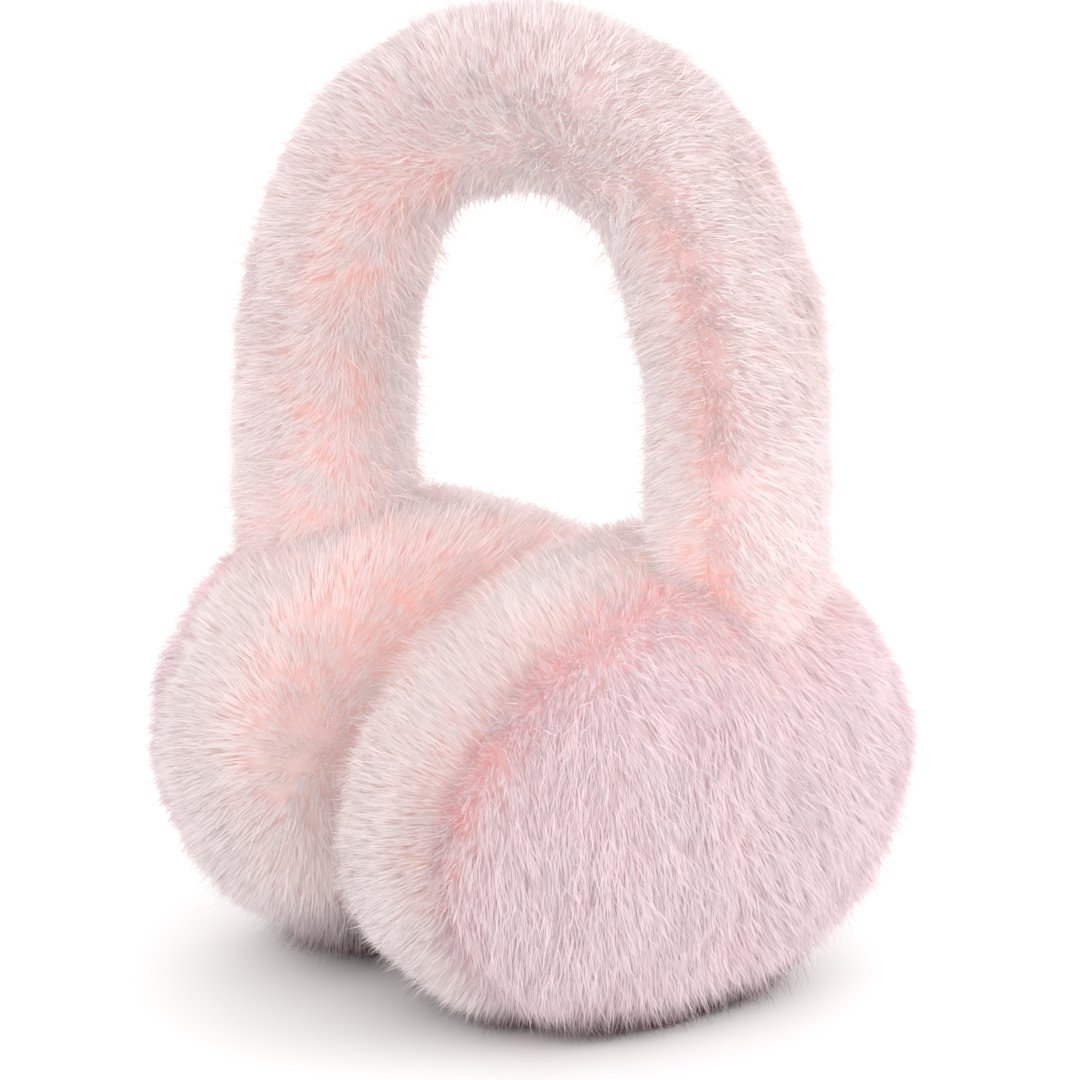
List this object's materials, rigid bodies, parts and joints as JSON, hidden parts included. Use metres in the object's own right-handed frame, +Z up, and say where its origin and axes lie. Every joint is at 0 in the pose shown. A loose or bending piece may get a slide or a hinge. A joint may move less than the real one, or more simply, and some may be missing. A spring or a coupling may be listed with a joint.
{
  "type": "fur earmuffs",
  "caption": "Earmuffs of pale pink long-pile fur: two oval padded cups under a fur-covered sprung headband, standing on the cups.",
  "frame": {"origin": "on the surface that the earmuffs stand on, under the middle of the two cups", "axes": "+Z up over the crown, +X towards the cup for the wearer's left ear, -Y to the front"},
  "size_m": [0.1291, 0.1321, 0.1995],
  "materials": {
    "fur_band_outer": "long soft pile, pale pink tips over salmon roots",
    "fur_band_inner": "long soft pile, pale pink tips over salmon roots",
    "fur_cup_face": "long soft pile combed down, cool pink tips over salmon roots",
    "fur_cup_rim": "long soft pile, pale greyish pink",
    "fur_ear_pad": "long soft pile, salmon pink"
  },
  "bodies": {
    "root": {"headband_outer_strip": "fur_band_outer", "headband_inner_strip": "fur_band_inner", "left_cup_face": "fur_cup_face", "left_cup_rim": "fur_cup_rim", "left_ear_pad": "fur_ear_pad", "right_cup_face": "fur_cup_face", "right_cup_rim": "fur_cup_rim", "right_ear_pad": "fur_ear_pad"}
  },
  "joints": []
}
